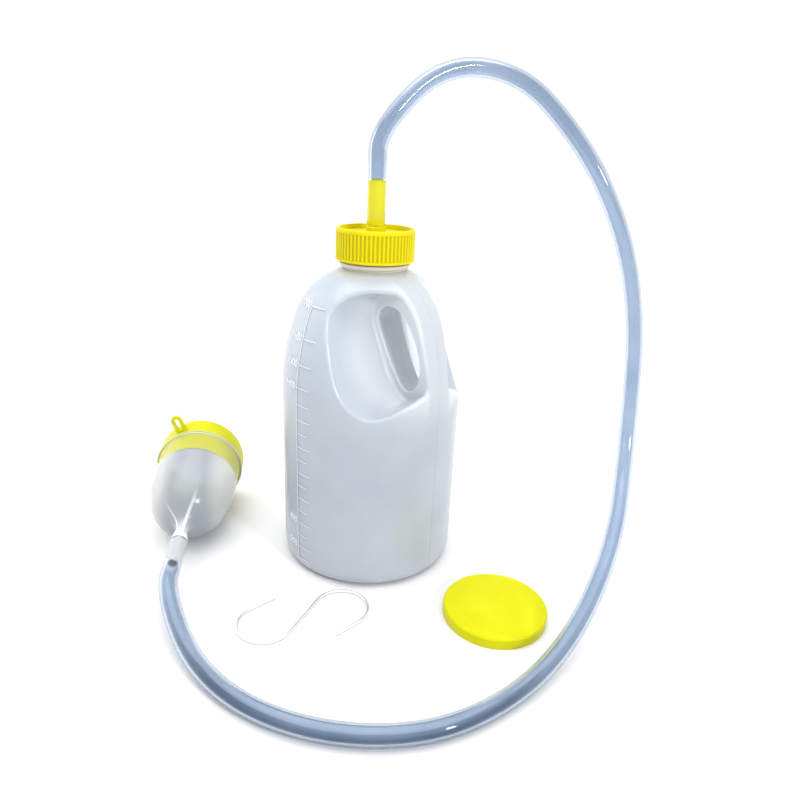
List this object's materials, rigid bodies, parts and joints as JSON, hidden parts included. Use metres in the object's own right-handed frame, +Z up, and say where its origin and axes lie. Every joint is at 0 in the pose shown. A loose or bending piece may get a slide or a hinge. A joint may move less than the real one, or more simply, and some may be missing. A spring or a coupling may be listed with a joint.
{
  "type": "urine bottle",
  "caption": "Upright translucent urine bottle with a pierced hand grip, ribbed screw cap, long clear drain tube, funnel receiver with a hanging eye, separate lid and wire hook.",
  "frame": {"origin": "centre of the bottle's base, on the plane that its foot ring stands on", "axes": "+Z up along the bottle's own axis; +X from that axis towards the hand grip; the scale of marks is on the -Y side; the tube runs over to +Y and comes round in front to the receiver"},
  "size_m": [0.3388, 0.3018, 0.3288],
  "materials": {
    "translucent_body": "milky translucent moulded polyethylene, satin",
    "translucent_cup": "milky translucent moulded plastic, smooth",
    "yellow_plastic": "bright yellow moulded plastic, semi-gloss",
    "clear_tube": "clear soft vinyl, faint blue-grey tint",
    "seal_rubber": "soft pale sealing ring",
    "hook_wire": "bright round steel wire"
  },
  "bodies": {
    "bottle": {"bottle": "translucent_body"},
    "tube": {"drain_tube": "clear_tube"},
    "cap": {"screw_cap": "yellow_plastic", "cap_seal": "seal_rubber"},
    "receiver": {"receiver_cup": "translucent_cup", "mouth_ring": "yellow_plastic"},
    "lid": {"receiver_lid": "yellow_plastic"},
    "hook": {"hanging_hook": "hook_wire"}
  },
  "joints": [
    {"name": "cap_climb", "type": "slide", "parent": "bottle", "child": "tube", "axis": [0, 0, 1], "range_m": [0, 0.006]},
    {"name": "cap_turn", "type": "hinge", "parent": "tube", "child": "cap", "pos_m": [0, 0, 0.21], "axis": [0, 0, 1], "range_deg": [0, 541]},
    {"name": "receiver_swivel", "type": "hinge", "parent": "tube", "child": "receiver", "pos_m": [-0.059, -0.1195, 0.024], "axis": [-0.7528, 0.6502, 0.1027], "range_deg": [-90, 90]},
    {"name": "lid_lift", "type": "slide", "parent": "bottle", "child": "lid", "axis": [0, 0, 1], "range_m": [0, 0.1]},
    {"name": "hook_lift", "type": "slide", "parent": "bottle", "child": "hook", "axis": [0, 0, 1], "range_m": [0, 0.1]}
  ],
  "couplings": [
    {"joint": "cap_turn", "follows": "cap_climb", "rad_per_m": 1570.8}
  ]
}
